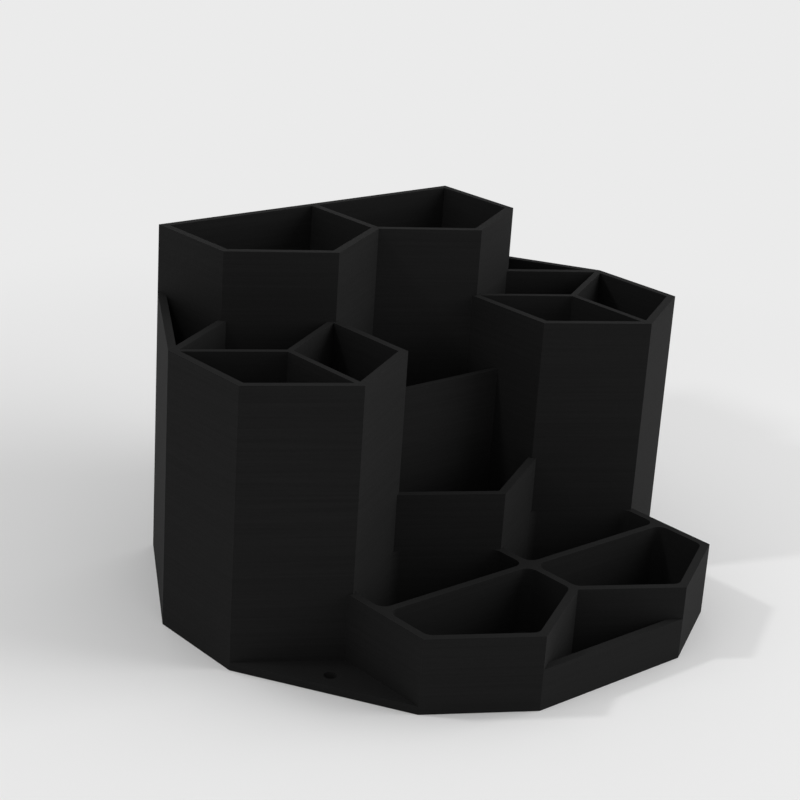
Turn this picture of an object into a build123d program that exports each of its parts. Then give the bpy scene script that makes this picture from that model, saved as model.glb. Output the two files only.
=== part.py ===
"""Honeycomb desk organizer, printed in black plastic.

Seven hexagonal cells stand on one flat base in a flower: two tall rear cups with a flat back,
two side towers, a low-fronted centre cell and two shallow front trays. Neighbouring cells share
one wall, and each shared wall belongs to the taller cell. Millimetres, +Z up, front towards -Y.
The origin is the middle of the footprint, on the surface that the base rests on.
"""

import os
from math import sqrt

from build123d import *

# Honeycomb grid and wall
cell_side = 40.0            # side of a grid hexagon, measured along the middle of the walls
wall = 3.0                  # every cell wall, centred on the grid

# Heights above the table
base_thickness = 3.0
rear_cup_height = 130.0
tower_height = 104.0        # side towers, their dividers and the two side pockets
centre_front_height = 50.0
centre_divider_height = 79.0
tray_height = 28.0
lip_height = 15.5

# Dividers
thin_wall = 2.4             # dividers in the towers and in the centre cell
tray_divider_wall = 3.0
divider_setback = 3.0       # straight dividers stand this far behind the middle of their cell

# Details
tray_corner_radius = 4.0
screw_hole_diameter = 4.8
screw_hole_inset = 7.0      # from the edge of the base to the middle of the hole

# Grid: pointed hexagons, columns half a pitch apart, rows one and a half sides apart
half_pitch = cell_side * sqrt(3) / 2
row = 1.5 * cell_side
outer_radius = cell_side + wall / sqrt(3)    # corner radius of a cell's outer faces
inner_radius = cell_side - wall / sqrt(3)    # corner radius of a cell's cavity
beyond = 4 * cell_side                       # longer than any cut has to reach

# The footprint runs from the front corners of the trays to the back wall and is centred on Y
centre_cell = Vector(0, outer_radius / 4)
left_cell = centre_cell + Vector(-2 * half_pitch, 0)
rear_left_cell = centre_cell + Vector(-half_pitch, row)
front_left_cell = centre_cell + Vector(-half_pitch, -row)
back_y = rear_left_cell.Y + outer_radius / 2


def mirrored(place):
    """The same place on the right-hand side."""
    return Vector(-place.X, place.Y)


def outer_corner(cell, angle):
    """Outer corner of a cell's wall, seen from the cell's middle at this angle."""
    return cell + Vector(outer_radius, 0).rotate(Axis.Z, angle)


# Outlines that several pieces share
with BuildSketch() as rear_left_outline:
    with Locations(rear_left_cell):
        RegularPolygon(outer_radius, 6, rotation=30)
    with Locations((rear_left_cell.X, back_y)):
        Rectangle(beyond, beyond, align=(Align.CENTER, Align.MIN), mode=Mode.SUBTRACT)

with BuildSketch() as left_outline:
    with Locations(left_cell):
        RegularPolygon(outer_radius, 6, rotation=30)

with BuildSketch() as front_left_outline:
    with Locations(front_left_cell):
        RegularPolygon(outer_radius, 6, rotation=30)

with BuildSketch() as centre_outline:
    with Locations(centre_cell):
        RegularPolygon(outer_radius, 6, rotation=30)

# Cavities that are more than a plain hexagon
with BuildSketch() as rear_left_cavity:
    with Locations(rear_left_cell):
        RegularPolygon(inner_radius, 6, rotation=30)
    with Locations((rear_left_cell.X, back_y - wall)):
        Rectangle(beyond, beyond, align=(Align.CENTER, Align.MIN), mode=Mode.SUBTRACT)

with BuildSketch() as front_left_pockets:
    with Locations(front_left_cell):
        RegularPolygon(inner_radius, 6, rotation=30)
    with Locations(front_left_cell + Vector(0, divider_setback)):
        Rectangle(beyond, tray_divider_wall, mode=Mode.SUBTRACT)
    fillet(front_left_pockets.vertices(), tray_corner_radius)

# The base is the hull of all the cells, so it bridges the notches between them
with BuildSketch() as base_outline:
    for cell_outline in (rear_left_outline, left_outline, front_left_outline):
        add(cell_outline.sketch)
        mirror(cell_outline.sketch, about=Plane.YZ)
    make_hull()

# A screw hole lies in each notch between a side tower and a front tray. The notch's open side is
# the base's edge from the tower to the tray, and the hole is set in from the middle of that edge.
notch_edge = (outer_corner(left_cell, 210), outer_corner(front_left_cell, 210))
notch_inward = (notch_edge[1] - notch_edge[0]).normalized().rotate(Axis.Z, 90)
left_screw_hole = (notch_edge[0] + notch_edge[1]) / 2 + notch_inward * screw_hole_inset
screw_holes = [left_screw_hole, mirrored(left_screw_hole)]

with BuildPart() as base_plate:
    with BuildSketch():
        add(base_outline.sketch)
    extrude(amount=base_thickness)
    with Locations(*[hole + Vector(0, 0, base_thickness) for hole in screw_holes]):
        Hole(screw_hole_diameter / 2)

floor = Plane.XY.offset(base_thickness)      # all walls stand on the base

# Rear cups: hexagons cut off by one flat back wall. Each owns half of the wall between them.
with BuildPart() as rear_left_cup:
    with BuildSketch(floor):
        add(rear_left_outline.sketch)
        add(rear_left_cavity.sketch, mode=Mode.SUBTRACT)
        Rectangle(beyond, 2 * beyond, align=(Align.MIN, Align.CENTER), mode=Mode.SUBTRACT)
    extrude(amount=rear_cup_height - base_thickness)

with BuildPart() as rear_right_cup:
    mirror(rear_left_cup.part, about=Plane.YZ)

# Side towers: five walls each, the sixth is the rear cup's
with BuildPart() as left_tower:
    with BuildSketch(floor):
        add(left_outline.sketch)
        with Locations(left_cell):
            RegularPolygon(inner_radius, 6, rotation=30, mode=Mode.SUBTRACT)
        add(rear_left_outline.sketch, mode=Mode.SUBTRACT)
    extrude(amount=tower_height - base_thickness)

with BuildPart() as right_tower:
    mirror(left_tower.part, about=Plane.YZ)

# Tower dividers: three thin arms that run from the middle into every second corner
with BuildPart() as left_tower_divider:
    with BuildSketch(floor):
        with Locations(left_cell):
            with PolarLocations(0, 3, start_angle=30):
                Rectangle(outer_radius, thin_wall, align=(Align.MIN, Align.CENTER))
            RegularPolygon(inner_radius, 6, rotation=30, mode=Mode.INTERSECT)
    extrude(amount=tower_height - base_thickness)

with BuildPart() as right_tower_divider:
    mirror(left_tower_divider.part, about=Plane.YZ)

# Side pockets: a wall along the edge of the base closes the notch from rear cup to side tower
pocket_edge = (outer_corner(rear_left_cell, 150), outer_corner(left_cell, 150))
pocket_inward = (pocket_edge[1] - pocket_edge[0]).normalized().rotate(Axis.Z, 90) * wall

with BuildPart() as left_pocket_wall:
    with BuildSketch(floor):
        Polygon(
            pocket_edge[0], pocket_edge[1], pocket_edge[1] + pocket_inward, pocket_edge[0] + pocket_inward,
            align=None,
        )
        add(rear_left_outline.sketch, mode=Mode.SUBTRACT)
        add(left_outline.sketch, mode=Mode.SUBTRACT)
    extrude(amount=tower_height - base_thickness)

with BuildPart() as right_pocket_wall:
    mirror(left_pocket_wall.part, about=Plane.YZ)

# Front trays: one hexagon each with a straight divider. The pockets have rounded corners, also
# where they run against the walls of the side tower and the centre cell.
with BuildSketch() as front_left_profile:
    add(front_left_outline.sketch)
    add(left_outline.sketch, mode=Mode.SUBTRACT)
    add(centre_outline.sketch, mode=Mode.SUBTRACT)
    add(front_left_pockets.sketch, mode=Mode.SUBTRACT)
    Rectangle(beyond, 2 * beyond, align=(Align.MIN, Align.CENTER), mode=Mode.SUBTRACT)

# The rounded corner between tower and centre cell touches no other wall of the tray, so it is a
# face of its own, which belongs to the centre cell's front wall
corner_fill, tray_walls = front_left_profile.faces().sort_by(SortBy.AREA)

with BuildPart() as front_left_tray:
    with BuildSketch(floor):
        add(tray_walls)
    extrude(amount=tray_height - base_thickness)

with BuildPart() as front_right_tray:
    mirror(front_left_tray.part, about=Plane.YZ)

# Centre cell: only its low front is its own, the other four walls are its taller neighbours'
with BuildPart() as centre_front_wall:
    with BuildSketch(floor):
        add(centre_outline.sketch)
        with Locations(centre_cell):
            RegularPolygon(inner_radius, 6, rotation=30, mode=Mode.SUBTRACT)
        for cell_outline in (rear_left_outline, left_outline):
            add(cell_outline.sketch, mode=Mode.SUBTRACT)
            mirror(cell_outline.sketch, about=Plane.YZ, mode=Mode.SUBTRACT)
    extrude(amount=centre_front_height - base_thickness)
    with BuildSketch(floor):
        add(corner_fill)
        mirror(corner_fill, about=Plane.YZ)
    extrude(amount=tray_height - base_thickness)

with BuildPart() as centre_divider:
    with BuildSketch(floor):
        with Locations(centre_cell + Vector(0, divider_setback)):
            Rectangle(2 * half_pitch - wall, thin_wall)
    extrude(amount=centre_divider_height - base_thickness)

# Front lip: a low wall along the edge of the base closes the notch between the two trays
lip_corner = outer_corner(front_left_cell, 270)

with BuildPart() as front_lip:
    with BuildSketch(floor):
        with Locations((0, lip_corner.Y)):
            Rectangle(-2 * lip_corner.X, wall, align=(Align.CENTER, Align.MIN))
        add(front_left_outline.sketch, mode=Mode.SUBTRACT)
        mirror(front_left_outline.sketch, about=Plane.YZ, mode=Mode.SUBTRACT)
    extrude(amount=lip_height - base_thickness)

pieces = {
    "base_plate": base_plate,
    "rear_left_cup": rear_left_cup,
    "rear_right_cup": rear_right_cup,
    "left_tower": left_tower,
    "right_tower": right_tower,
    "left_tower_divider": left_tower_divider,
    "right_tower_divider": right_tower_divider,
    "left_pocket_wall": left_pocket_wall,
    "right_pocket_wall": right_pocket_wall,
    "centre_front_wall": centre_front_wall,
    "centre_divider": centre_divider,
    "front_left_tray": front_left_tray,
    "front_right_tray": front_right_tray,
    "front_lip": front_lip,
}

os.makedirs("parts", exist_ok=True)
for name, piece in pieces.items():
    piece.part.label = name
    export_step(piece.part, f"parts/{name}.step")
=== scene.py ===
# %% [markdown]
# # A honeycomb desk organizer, printed in black plastic
#
# The real organizer is a single 3-D print: seven hexagonal cells on one flat base. Its walls are
# planes and its shape is already exact in the solid model, so nothing is remodelled here. What makes
# it look real is how a print catches the light: flanks ribbed by hundreds of thin layers, rims
# striped by the strands that the nozzle laid side by side, and a black that is never quite black.
#
# Blender works in metres. The front of the organizer faces -Y, and it stands on the plane z = 0.

# %% Load the solid pieces
from math import cos, pi, radians, sin, sqrt

import bmesh
import bpy
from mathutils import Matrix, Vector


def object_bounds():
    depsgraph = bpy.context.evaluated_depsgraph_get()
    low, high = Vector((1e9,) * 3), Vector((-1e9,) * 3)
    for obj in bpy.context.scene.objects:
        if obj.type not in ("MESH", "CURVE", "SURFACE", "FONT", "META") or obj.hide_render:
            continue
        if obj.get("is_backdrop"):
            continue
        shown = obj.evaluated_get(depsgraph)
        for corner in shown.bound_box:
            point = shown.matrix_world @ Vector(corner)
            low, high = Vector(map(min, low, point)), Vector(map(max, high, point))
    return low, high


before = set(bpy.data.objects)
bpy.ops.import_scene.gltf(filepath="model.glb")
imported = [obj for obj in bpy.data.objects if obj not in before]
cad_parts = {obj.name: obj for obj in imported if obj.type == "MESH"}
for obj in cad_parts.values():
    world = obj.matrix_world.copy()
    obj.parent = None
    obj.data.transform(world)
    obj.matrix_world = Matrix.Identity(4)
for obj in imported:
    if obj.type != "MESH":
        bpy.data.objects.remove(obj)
solid_low, solid_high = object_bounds()
organizer_size = solid_high - solid_low

MM = 0.001
print("pieces:", ", ".join(sorted(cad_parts)))
print("size in mm:", [round(side / MM, 1) for side in organizer_size])

# %% [markdown]
# ## Two helpers
#
# Colours are written as the hex codes that a colour picker shows. Those are sRGB values, made for
# screens, while Blender counts light, so every code is turned to linear before it reaches a shader.
#
# A material is a graph of nodes. Adding one by hand takes four lines, so one small function does it:
# it makes the node, sets its options, and fills its inputs with either a plain value or a link.
#
# Some nodes have several inputs of one name, and those are filled by number. A Mix node, for example,
# takes its factor in input 0, numbers in 2 and 3, vectors in 4 and 5, and colours in 6 and 7. It gives
# a number out at 0, a vector at 1 and a colour at 2.

# %% Colour and node helpers
def linear(hex_code, alpha=1.0):
    """An sRGB hex code as the linear colour that shaders work with."""
    channels = [int(hex_code[i:i + 2], 16) / 255 for i in (1, 3, 5)]
    curve = [c / 12.92 if c <= 0.04045 else ((c + 0.055) / 1.055) ** 2.4 for c in channels]
    return (*curve, alpha)


def add(tree, kind, inputs=(), **options):
    """Adds a node. inputs are (socket, value) pairs, where a value may be another node's output."""
    made = tree.nodes.new(kind)
    for option, value in options.items():
        setattr(made, option, value)
    for socket, value in inputs:
        if isinstance(value, bpy.types.NodeSocket):
            tree.links.new(value, made.inputs[socket])
        else:
            made.inputs[socket].default_value = value
    return made


print("mid grey #808080 is", round(linear("#808080")[0], 3), "of full light")

# %% [markdown]
# ## The camera
#
# The camera stands in front of the organizer, a little to the left, and looks down at it through a
# long lens, which keeps the towers nearly upright. It is rolled by a few degrees, because it was
# aimed by hand. Its place and turn were worked out from the corners of the real object in the picture.

# %% Place the camera
lens_in_mm = 83.64
sensor_in_mm = 36
camera_place = (-0.44098, -0.47389, 0.30741)
camera_turn_in_degrees = (70.204, -3.526, -39.916)

camera_data = bpy.data.cameras.new("camera")
camera_data.lens = lens_in_mm
camera_data.sensor_width = sensor_in_mm
camera = bpy.data.objects.new("camera", camera_data)
camera.location = camera_place
camera.rotation_euler = [radians(turn) for turn in camera_turn_in_degrees]
bpy.context.scene.collection.objects.link(camera)
bpy.context.scene.camera = camera

organizer_middle = (solid_low + solid_high) / 2
print("camera distance in mm:", round((camera.location - organizer_middle).length / MM))

# %% [markdown]
# ## The studio paper
#
# The organizer stands on a sheet of light grey studio paper that runs up behind it without a corner.
# Near the organizer the paper is matt and keeps the shadows. The two lamps can't light all of it
# alike, though, and the real backdrop is perfectly even, as if it had lights of its own. So the paper
# turns into a pale glow of its own colour, smoothly, between a quarter and half a metre away. At a
# strength of 1 the glow looks exactly as its colour is written.

# %% Mix the studio paper
pale_grey = linear("#EBEBEB")
backdrop_starts = 0.24
backdrop_is_full = 0.50
strength_as_written = 1.0

studio_paper = bpy.data.materials.new("matt_studio_paper")
studio_paper.use_nodes = True
paper_tree = studio_paper.node_tree
paper_tree.nodes.clear()
paper = add(paper_tree, "ShaderNodeBsdfDiffuse", [("Color", pale_grey)])
backdrop = add(paper_tree, "ShaderNodeEmission", [
    ("Color", pale_grey),
    ("Strength", strength_as_written),
])
paper_place = add(paper_tree, "ShaderNodeTexCoord").outputs["Object"]
far_off = add(paper_tree, "ShaderNodeVectorMath", [(0, paper_place)], operation="LENGTH")
fade = add(paper_tree, "ShaderNodeMapRange", [
    ("Value", far_off.outputs["Value"]),
    ("From Min", backdrop_starts),
    ("From Max", backdrop_is_full),
], interpolation_type="SMOOTHSTEP")
pale_sheet = add(paper_tree, "ShaderNodeMixShader", [
    (0, fade.outputs["Result"]),
    (1, paper.outputs[0]),
    (2, backdrop.outputs[0]),
])
add(paper_tree, "ShaderNodeOutputMaterial", [("Surface", pale_sheet.outputs[0])])

print("paper turns into backdrop from", backdrop_starts, "to", backdrop_is_full, "metres")

# %% [markdown]
# ## The floor
#
# The camera looks down so steeply that one very wide flat sheet does for floor and backdrop. It lies
# a hair below the organizer, so that the two don't share a plane, where a renderer can't tell which
# It is marked as backdrop, so the measure of the organizer leaves it out.

# %% Lay the floor
floor_reach = 20.0
gap_under_organizer = 0.1 * MM

sheet = bmesh.new()
bmesh.ops.create_grid(sheet, x_segments=1, y_segments=1, size=floor_reach)
bmesh.ops.translate(sheet, verts=sheet.verts, vec=(0, 0, -gap_under_organizer))
floor_mesh = bpy.data.meshes.new("floor")
sheet.to_mesh(floor_mesh)
sheet.free()
floor_mesh.materials.append(studio_paper)
floor = bpy.data.objects.new("floor", floor_mesh)
bpy.context.scene.collection.objects.link(floor)
floor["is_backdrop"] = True

print("floor side in metres:", 2 * floor_reach)

# %% [markdown]
# ## The lamps
#
# The shadows in the picture tell where its two lamps stood. A small one high on the left throws the
# crisp little shadows to the right of the trays, and a wide, low one on the right throws the broad
# soft shadow to the left.
#
# Both lamps are round and hang near the organizer, so their shadows fan out, as they do in the
# picture. A near lamp would also burn a bright spot into the floor, where the real one is even. So
# the falloff is set to constant: the light then doesn't fade with distance. At 4 pi^2 watts such a
# lamp gives just what its strength says, where 1 shows a white surface as white.

# %% Hang the lamps
watts_for_white = 4 * pi ** 2


def near_lamp(name, place, width, share):
    """A round lamp at a place in metres, as wide as it says. share is what it adds to the light of a
    surface that faces it, where 1 shows white as white."""
    lamp_data = bpy.data.lights.new(name, "POINT")
    lamp_data.shadow_soft_size = width / 2
    lamp_data.energy = watts_for_white
    lamp_data.use_nodes = True
    lamp_tree = lamp_data.node_tree
    lamp_tree.nodes.clear()
    even = add(lamp_tree, "ShaderNodeLightFalloff", [("Strength", share)])
    glow = add(lamp_tree, "ShaderNodeEmission", [("Strength", even.outputs["Constant"])])
    add(lamp_tree, "ShaderNodeOutputLight", [("Surface", glow.outputs[0])])
    lamp = bpy.data.objects.new(name, lamp_data)
    lamp.location = place
    lamp.visible_camera = False
    bpy.context.scene.collection.objects.link(lamp)
    return lamp


left_lamp = near_lamp("left_lamp", place=(-0.205, 0.064, 0.314), width=0.035, share=0.165)
right_lamp = near_lamp("right_lamp", place=(0.40, -0.345, 0.295), width=0.48, share=0.52)

for lamp in (left_lamp, right_lamp):
    print(lamp.name, "is", round(lamp.location.length / MM), "mm from the middle of the base")

# %% [markdown]
# ## The room
#
# Most of the light in the picture comes from everywhere, as in a room with white walls: the floor
# darkens softly towards the organizer, and the deep cells go black. A world of one even colour gives
# that. Room and lamps add up to about one, so a colour renders about as it is written.
#
# The room has two strengths. It lights the organizer with a little less than 1, to leave some light
# to the lamps. But where it is seen, by the camera, in a reflection or through glass, its strength is
# 1, so that it looks like the paper and no horizon shows from low down. The Light Path node tells
# which kind of ray asks.

# %% Light the room
room_light = 0.785


def seen_directly(tree):
    """1 for a ray from the camera, from a reflection or through glass, and 0 for soft light."""
    ray = add(tree, "ShaderNodeLightPath")
    camera_or_gloss = add(tree, "ShaderNodeMath", [
        (0, ray.outputs["Is Camera Ray"]),
        (1, ray.outputs["Is Glossy Ray"]),
    ], operation="MAXIMUM")
    any_of_them = add(tree, "ShaderNodeMath", [
        (0, camera_or_gloss.outputs[0]),
        (1, ray.outputs["Is Transmission Ray"]),
    ], operation="MAXIMUM")
    return any_of_them.outputs[0]


white_room = bpy.data.worlds.new("white_room")
white_room.use_nodes = True
room_tree = white_room.node_tree
room_tree.nodes.clear()
lit_walls = add(room_tree, "ShaderNodeBackground", [
    ("Color", pale_grey),
    ("Strength", room_light),
])
seen_walls = add(room_tree, "ShaderNodeBackground", [
    ("Color", pale_grey),
    ("Strength", strength_as_written),
])
walls = add(room_tree, "ShaderNodeMixShader", [
    (0, seen_directly(room_tree)),
    (1, lit_walls.outputs[0]),
    (2, seen_walls.outputs[0]),
])
add(room_tree, "ShaderNodeOutputWorld", [("Surface", walls.outputs[0])])
bpy.context.scene.world = white_room
bpy.context.scene.view_settings.view_transform = "Standard"

print("the room lights with", room_light, "and is seen with", strength_as_written)

# %% [markdown]
# ## How the plastic was laid
#
# The print is black PLA, a hard plastic that comes as a filament and is laid down molten, in strands
# 0.45 mm wide and 0.2 mm thick. It is dyed through, so all of it has one colour, and what tells one
# surface from the next is how the strands lie. A flank shows the edge of every layer as a fine level
# rib. A rim shows the last strands from above, side by side along the wall. The plate under it all
# was filled in diagonal rows. Only the underside is smooth, because it lay on the printer's bed.
#
# Both patterns are finer than a pixel of this picture, so they are drawn coarser, at four layers to
# a rib and two strands to a stripe. That keeps their look without flicker.

# %% Measures of the print
layer_height = 0.2 * MM
strand_width = 0.45 * MM
layers_in_a_drawn_rib = 4
strands_in_a_drawn_stripe = 2
rib_pitch = layer_height * layers_in_a_drawn_rib
stripe_pitch = strand_width * strands_in_a_drawn_stripe

print("drawn rib and stripe in mm:", round(rib_pitch / MM, 2), round(stripe_pitch / MM, 2))

# %% [markdown]
# ## Which cell a point is in
#
# Along a straight wall the strands are straight, and the distance across them is one dot product.
# Round the cells they follow the six walls, so that distance has to turn a corner with them. It could
# be painted by hand, but a honeycomb can also be worked out. Its cells repeat on two plain
# rectangular grids, one shifted by half a step, and the wrap option of Vector Math folds the whole
# plane into one step of a grid. Of the two folded points the one nearer to zero belongs to the cell
# that the point is in.
#
# Zero is the middle of the footprint, which reaches further forward than back from the middle cell.
# So that cell stands a quarter of a cell's outer radius behind zero.

# %% Fold the honeycomb into one cell
cell_side = 40.0 * MM
wall = 3.0 * MM
half_pitch = cell_side * sqrt(3) / 2
row = cell_side * 1.5
middle_cell = (0, (cell_side + wall / sqrt(3)) / 4, 0)


def from_nearest_cell(tree, place):
    """The way from the middle of the cell that a point is in to that point, without signs."""
    moved = add(tree, "ShaderNodeVectorMath", [(0, place), (1, middle_cell)], operation="SUBTRACT")
    ways = []
    for shift in ((0, 0, 0), (half_pitch, row, 0)):
        shifted = add(tree, "ShaderNodeVectorMath", [
            (0, moved.outputs[0]),
            (1, shift),
        ], operation="ADD")
        folded = add(tree, "ShaderNodeVectorMath", [
            (0, shifted.outputs[0]),
            (1, (half_pitch, row, 0)),
            (2, (-half_pitch, -row, 0)),
        ], operation="WRAP")
        length = add(tree, "ShaderNodeVectorMath", [(0, folded.outputs[0])], operation="LENGTH")
        ways.append((folded.outputs[0], length.outputs["Value"]))
    (first_way, first_length), (second_way, second_length) = ways
    second_is_nearer = add(tree, "ShaderNodeMath", [
        (0, second_length),
        (1, first_length),
    ], operation="LESS_THAN")
    nearest = add(tree, "ShaderNodeMix", [
        (0, second_is_nearer.outputs[0]),
        (4, first_way),
        (5, second_way),
    ], data_type="VECTOR")
    return add(tree, "ShaderNodeVectorMath", [(0, nearest.outputs[1])], operation="ABSOLUTE").outputs[0]


print("cells repeat every", round(2 * half_pitch / MM, 1), "by", round(2 * row / MM, 1), "mm")

# %% [markdown]
# ## How far across the strands
#
# In its cell, |x| grows towards the side walls and a dot product grows towards the slanting ones. The
# larger of the two is the same all along a hexagonal loop, so it counts the strands of the walls.
#
# The back wall of the rear cups and the dividers of the trays cross a cell from side to side. They lie
# nearer to its middle than its own walls do, whose inner faces are 33.1 mm from it. So the stripes
# change to straight ones just inside that.
#
# The dividers in the towers have three arms that meet in the middle of a cell. Across an arm the
# smallest of such distances counts, so the stripes run out along each arm and meet in the middle.

# %% Count across the strands
slant = radians(60)
slant_x = cos(slant)
slant_y = sin(slant)
own_walls_start = 32.5 * MM


def across_strands(tree, place, run):
    """How far a point lies across the strands. run is "loops", "arms", or a direction across them."""
    if run not in ("loops", "arms"):
        across = add(tree, "ShaderNodeVectorMath", [(0, place), (1, run)], operation="DOT_PRODUCT")
        return across.outputs["Value"]
    way = from_nearest_cell(tree, place)
    to_side = add(tree, "ShaderNodeSeparateXYZ", [(0, way)]).outputs["X"]
    if run == "loops":
        to_slant = add(tree, "ShaderNodeVectorMath", [
            (0, way),
            (1, (slant_x, slant_y, 0)),
        ], operation="DOT_PRODUCT").outputs["Value"]
        loop = add(tree, "ShaderNodeMath", [(0, to_side), (1, to_slant)], operation="MAXIMUM").outputs[0]
        straight = add(tree, "ShaderNodeSeparateXYZ", [(0, place)]).outputs["Y"]
        crosses = add(tree, "ShaderNodeMath", [(0, loop), (1, own_walls_start)], operation="LESS_THAN")
        return add(tree, "ShaderNodeMix", [(0, crosses.outputs[0]), (2, loop), (3, straight)]).outputs[0]
    off_arm = add(tree, "ShaderNodeVectorMath", [
        (0, way),
        (1, (slant_x, -slant_y, 0)),
    ], operation="DOT_PRODUCT").outputs["Value"]
    beside_arm = add(tree, "ShaderNodeMath", [(0, off_arm)], operation="ABSOLUTE").outputs[0]
    return add(tree, "ShaderNodeMath", [(0, to_side), (1, beside_arm)], operation="MINIMUM").outputs[0]


print("a slanting wall faces", round(slant_x, 3), round(slant_y, 3))

# %% [markdown]
# ## Ribs, stripes and streaks
#
# The relief of the print is one height for the whole surface. Flanks carry ribs, a sine of how high
# they are above the table, and rims carry stripes, a sine of how far across the strands they are. A
# face counts as a rim where its normal points more than half up, and as underside where it points as
# much down.
#
# A pure sine looks drawn with a ruler, so each is mixed with a noise. On flanks it is stretched level,
# because each layer leaves the nozzle a bit thicker or thinner for a few centimetres. On rims it is
# a fine grain. The relief is shallower than that of a real print, because the walls in the picture
# show hardly any lines.

# %% Draw the relief
streak_length = 60 * MM
grain_size = 0.8 * MM
noise_detail = 2.0
rib_share = 0.4
stripe_share = 0.6
relief_depth = 0.008 * MM


def sine_and_noise(tree, distance, pitch, share, noise):
    """A wave that repeats every pitch, as strong as its share, on top of a noise."""
    phase = add(tree, "ShaderNodeMath", [(0, distance), (1, 2 * pi / pitch)], operation="MULTIPLY")
    wave = add(tree, "ShaderNodeMath", [(0, phase.outputs[0])], operation="SINE")
    return add(tree, "ShaderNodeMath", [
        (0, wave.outputs[0]),
        (1, share),
        (2, noise),
    ], operation="MULTIPLY_ADD").outputs[0]


def unevenness(tree, place):
    """Streaks, which change from rib to rib but hardly along them, and grain, alike all round."""
    stretched = add(tree, "ShaderNodeVectorMath", [
        (0, place),
        (1, (1 / streak_length, 1 / streak_length, 1 / rib_pitch)),
    ], operation="MULTIPLY")
    streaks = add(tree, "ShaderNodeTexNoise", [
        ("Vector", stretched.outputs[0]),
        ("Scale", 1.0),
        ("Detail", noise_detail),
    ])
    grain = add(tree, "ShaderNodeTexNoise", [
        ("Vector", place),
        ("Scale", 1 / grain_size),
        ("Detail", noise_detail),
    ])
    return streaks.outputs["Fac"], grain.outputs["Fac"]


print("depth of the drawn relief in mm:", round(relief_depth / MM, 3))
print("length of a streak in mm:", round(streak_length / MM))

# %% [markdown]
# ## Black PLA
#
# PLA itself is glossy, with the IOR of most plastics, 1.46. What the eye gets is duller: ribs and tiny
# unevenness spread each reflection over a whole wall, so the roughness is high and the specular level
# is turned down until the walls are as dark as in the picture. The streaks also shift the black a
# little, and the grain does so to the roughness. The underside, pressed flat on the printer's bed, has
# no relief and a clearer shine.

# %% Mix the black PLA
darker_black = linear("#141414")
lighter_black = linear("#1C1C1C")
dullest = 1.0
least_dull = 0.8
underside_roughness = 0.35
plastic_ior = 1.46
specular_level = 0.11
looks_up = 0.5


def printed_plastic(name, run):
    """Black PLA whose rims show strands that run as run says."""
    plastic = bpy.data.materials.new(name)
    plastic.use_nodes = True
    tree = plastic.node_tree
    tree.nodes.clear()
    texture = add(tree, "ShaderNodeTexCoord")
    place = texture.outputs["Object"]
    height = add(tree, "ShaderNodeSeparateXYZ", [(0, place)]).outputs["Z"]
    up = add(tree, "ShaderNodeSeparateXYZ", [(0, texture.outputs["Normal"])]).outputs["Z"]
    rim_test = add(tree, "ShaderNodeMath", [(0, up), (1, looks_up)], operation="GREATER_THAN")
    underside_test = add(tree, "ShaderNodeMath", [(0, up), (1, -looks_up)], operation="LESS_THAN")
    is_rim = rim_test.outputs[0]
    is_underside = underside_test.outputs[0]

    streaks, grain = unevenness(tree, place)
    flank = sine_and_noise(tree, height, rib_pitch, rib_share, streaks)
    rim = sine_and_noise(tree, across_strands(tree, place, run), stripe_pitch, stripe_share, grain)
    relief = add(tree, "ShaderNodeMix", [(0, is_rim), (2, flank), (3, rim)])
    has_relief = add(tree, "ShaderNodeMath", [(0, 1.0), (1, is_underside)], operation="SUBTRACT")
    bump = add(tree, "ShaderNodeBump", [
        ("Strength", has_relief.outputs[0]),
        ("Distance", relief_depth),
        ("Height", relief.outputs[0]),
    ])

    black = add(tree, "ShaderNodeMix", [
        (0, streaks),
        (6, darker_black),
        (7, lighter_black),
    ], data_type="RGBA")
    dull = add(tree, "ShaderNodeMapRange", [
        ("Value", grain),
        ("To Min", least_dull),
        ("To Max", dullest),
    ])
    roughness = add(tree, "ShaderNodeMix", [
        (0, is_underside),
        (2, dull.outputs["Result"]),
        (3, underside_roughness),
    ])
    surface = add(tree, "ShaderNodeBsdfPrincipled", [
        ("Base Color", black.outputs[2]),
        ("Roughness", roughness.outputs[0]),
        ("IOR", plastic_ior),
        ("Specular IOR Level", specular_level),
        ("Normal", bump.outputs[0]),
    ])
    add(tree, "ShaderNodeOutputMaterial", [("Surface", surface.outputs[0])])
    return plastic


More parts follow.
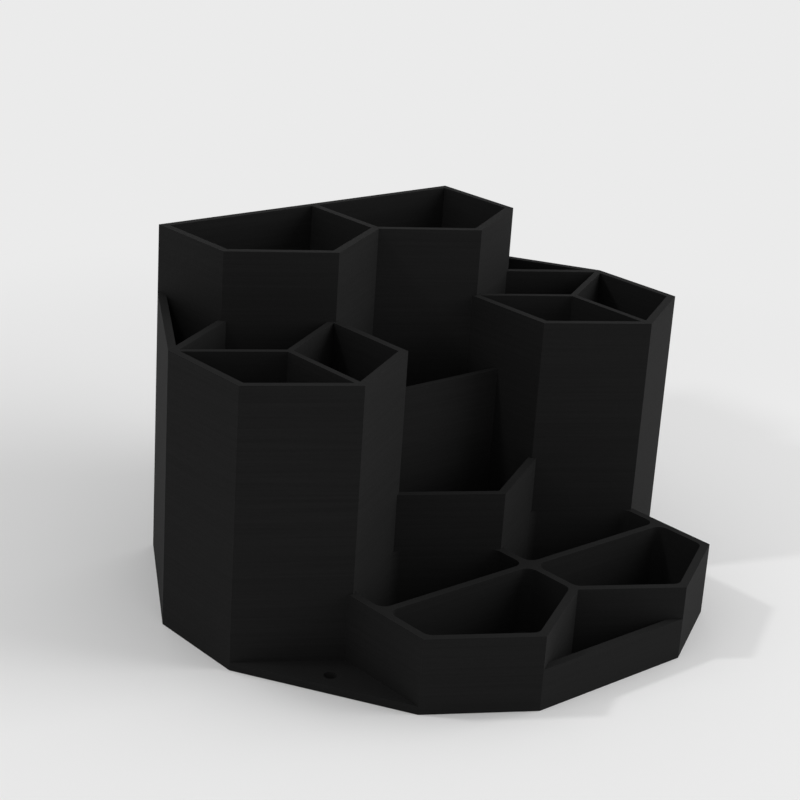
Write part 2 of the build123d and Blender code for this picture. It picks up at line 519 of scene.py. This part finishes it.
loops = printed_plastic("black_pla_printed_in_loops", "loops")
print("nodes in one plastic:", len(loops.node_tree.nodes))

# %% [markdown]
# ## One plastic for each way the strands run
#
# A printer draws every wall along its length, because long strokes are the fastest and the strongest.
# So the walls of the cells get loops, the three-armed dividers get arms, and a wall that stands by
# itself gets strands along it. The direction that is given for such a wall points across it. Only
# the flat base is filled in rows at 45 degrees.

# %% Mix the other plastics
diagonal_rows = radians(45)

arms = printed_plastic("black_pla_printed_along_three_arms", "arms")
straight = printed_plastic("black_pla_printed_straight_across", (0, 1, 0))
left_edge = printed_plastic("black_pla_printed_along_the_left_edge", (-slant_y, slant_x, 0))
right_edge = printed_plastic("black_pla_printed_along_the_right_edge", (slant_y, slant_x, 0))
diagonal = printed_plastic(
    "black_pla_printed_in_diagonal_rows",
    (sin(diagonal_rows), cos(diagonal_rows), 0),
)
for plastic in (arms, straight, left_edge, right_edge, diagonal):
    print(plastic.name, "has", len(plastic.node_tree.nodes), "nodes")

# %% [markdown]
# ## Dress the pieces
#
# Every piece gets the plastic whose strands run as they would in that piece. Its mesh stays as it
# is: the material is set in the slot of the object.

# %% Give each piece its plastic
plastic_of_piece = {
    "base_plate": diagonal,
    "rear_left_cup": loops,
    "rear_right_cup": loops,
    "left_tower": loops,
    "right_tower": loops,
    "left_tower_divider": arms,
    "right_tower_divider": arms,
    "left_pocket_wall": left_edge,
    "right_pocket_wall": right_edge,
    "centre_front_wall": loops,
    "centre_divider": straight,
    "front_left_tray": loops,
    "front_right_tray": loops,
    "front_lip": straight,
}
for name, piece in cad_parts.items():
    for slot in piece.material_slots:
        slot.link = "OBJECT"
        slot.material = plastic_of_piece[name]
    print(name, "is", piece.material_slots[0].material.name)

# %% [markdown]
# ## Measure and finish
#
# Light and materials must leave the size of the organizer alone. So its box is measured once more and
# written down beside the box of the solid model.

# %% Write down both boxes
shown_low, shown_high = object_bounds()
shown_size = shown_high - shown_low
print("size at the end in mm:", [round(side / MM, 1) for side in shown_size])
